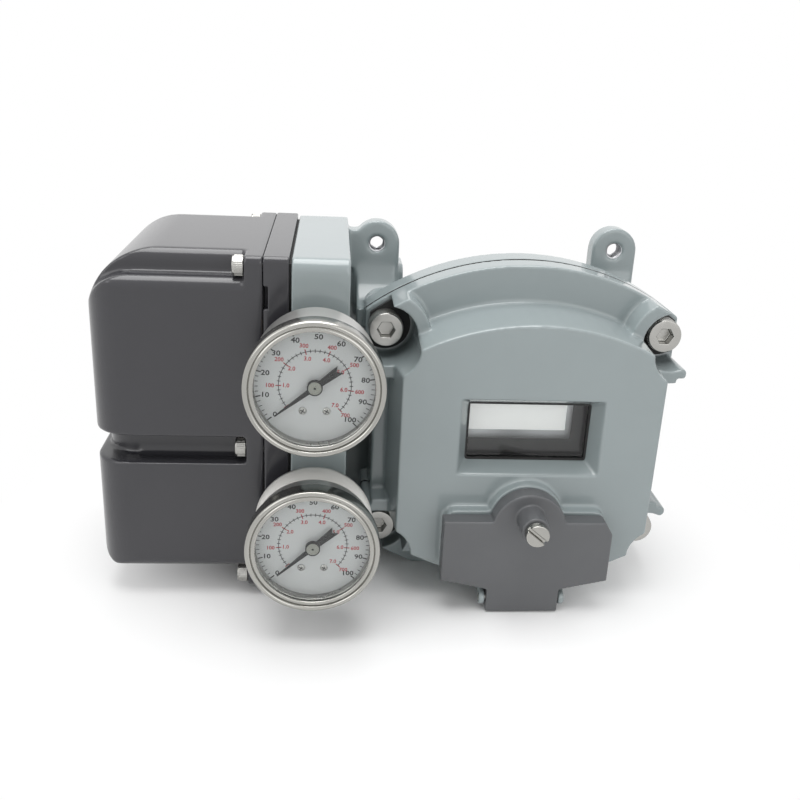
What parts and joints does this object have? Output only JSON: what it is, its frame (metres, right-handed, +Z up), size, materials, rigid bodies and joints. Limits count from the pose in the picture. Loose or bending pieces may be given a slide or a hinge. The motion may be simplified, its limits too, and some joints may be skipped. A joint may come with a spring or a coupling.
{
  "type": "valve positioner",
  "caption": "Valve positioner: a grey cast case with a display window and hinged button cover, beside an air block with pressure gauges and a black side cover.",
  "frame": {"origin": "centre of the four rear mounting holes, on the back face", "axes": "+X to the right seen from the front, +Y to the back out of the rear mount, +Z up"},
  "size_m": [0.2237, 0.123, 0.1354],
  "materials": {
    "grey_casting": "glossy grey paint on cast aluminium",
    "charcoal_plastic": "fine moulded texture",
    "dark_plastic": "satin moulded",
    "black_rubber": "matt",
    "black_plastic": "satin",
    "steel": "plain",
    "bright_steel": "polished",
    "brass": "turned",
    "clear_glass": "clear",
    "dial_face": "printed white",
    "display": "dark display",
    "board": "green board",
    "bare_aluminium": "machined"
  },
  "bodies": {
    "case": {"housing": "grey_casting", "front_cover": "grey_casting", "cover_gasket": "black_rubber", "cover_screws": "steel", "cover_screw_washers": "black_rubber", "window_seal": "black_rubber", "window_glass": "clear_glass", "window_retainer": "black_plastic", "display_panel": "display", "display_board": "board", "electronics_module": "black_plastic", "module_posts": "brass", "terminal_block": "black_plastic", "terminal_screws": "steel", "ground_screw": "brass", "conduit_plug": "steel", "sensor_hub": "black_plastic", "sensor_board": "board", "hinge_pin": "steel", "button_board": "board", "base_gasket": "black_rubber", "pneumatic_base": "charcoal_plastic", "base_screws": "steel", "pneumatic_cover": "charcoal_plastic", "pneumatic_cover_seal": "black_rubber", "pneumatic_cover_screws": "steel", "current_to_pressure_converter": "bare_aluminium", "relay_body": "bare_aluminium", "relay_cap": "bare_aluminium", "air_filter": "brass", "upper_gauge_case": "bright_steel", "upper_gauge_bezel": "bright_steel", "upper_gauge_lens": "clear_glass", "upper_gauge_dial": "dial_face", "upper_gauge_socket": "brass", "upper_gauge_tube": "brass", "lower_gauge_case": "bright_steel", "lower_gauge_bezel": "bright_steel", "lower_gauge_lens": "clear_glass", "lower_gauge_dial": "dial_face", "lower_gauge_socket": "brass", "lower_gauge_tube": "brass"},
    "button_cover": {"button_cover": "dark_plastic"},
    "button_cover_screw": {"button_cover_screw": "bright_steel"},
    "button_left": {"button_left": "black_plastic"},
    "button_middle": {"button_middle": "black_plastic"},
    "button_right": {"button_right": "black_plastic"},
    "upper_pointer": {"upper_gauge_pointer": "black_plastic"},
    "lower_pointer": {"lower_gauge_pointer": "black_plastic"},
    "relay_plunger": {"relay_plunger": "brass"}
  },
  "joints": [
    {"name": "button_cover_hinge", "type": "hinge", "parent": "case", "child": "button_cover", "pos_m": [0, -0.09835, -0.055], "axis": [1, 0, 0], "range_deg": [0, 150]},
    {"name": "button_cover_screw_turn", "type": "hinge", "parent": "button_cover", "child": "button_cover_screw", "pos_m": [0, -0.09, -0.019], "axis": [0, 1, 0], "continuous": true},
    {"name": "button_left_press", "type": "slide", "parent": "case", "child": "button_left", "axis": [0, 1, 0], "range_m": [0, 0.0015], "stiffness_N_per_m": 400, "springref_m": -0.001},
    {"name": "button_middle_press", "type": "slide", "parent": "case", "child": "button_middle", "axis": [0, 1, 0], "range_m": [0, 0.0015], "stiffness_N_per_m": 400, "springref_m": -0.001},
    {"name": "button_right_press", "type": "slide", "parent": "case", "child": "button_right", "axis": [0, 1, 0], "range_m": [0, 0.0015], "stiffness_N_per_m": 400, "springref_m": -0.001},
    {"name": "upper_pointer_turn", "type": "hinge", "parent": "case", "child": "upper_pointer", "pos_m": [-0.0805, -0.118, 0.0376], "axis": [0, 1, 0], "range_deg": [0, 264], "stiffness_Nm_per_rad": 0.0001},
    {"name": "lower_pointer_turn", "type": "hinge", "parent": "case", "child": "lower_pointer", "pos_m": [-0.0805, -0.118, -0.0223], "axis": [0, 1, 0], "range_deg": [0, 264], "stiffness_Nm_per_rad": 0.0001},
    {"name": "relay_plunger_slide", "type": "slide", "parent": "case", "child": "relay_plunger", "axis": [1, 0, 0], "range_m": [0, 0.0015], "stiffness_N_per_m": 800, "springref_m": -0.001}
  ]
}
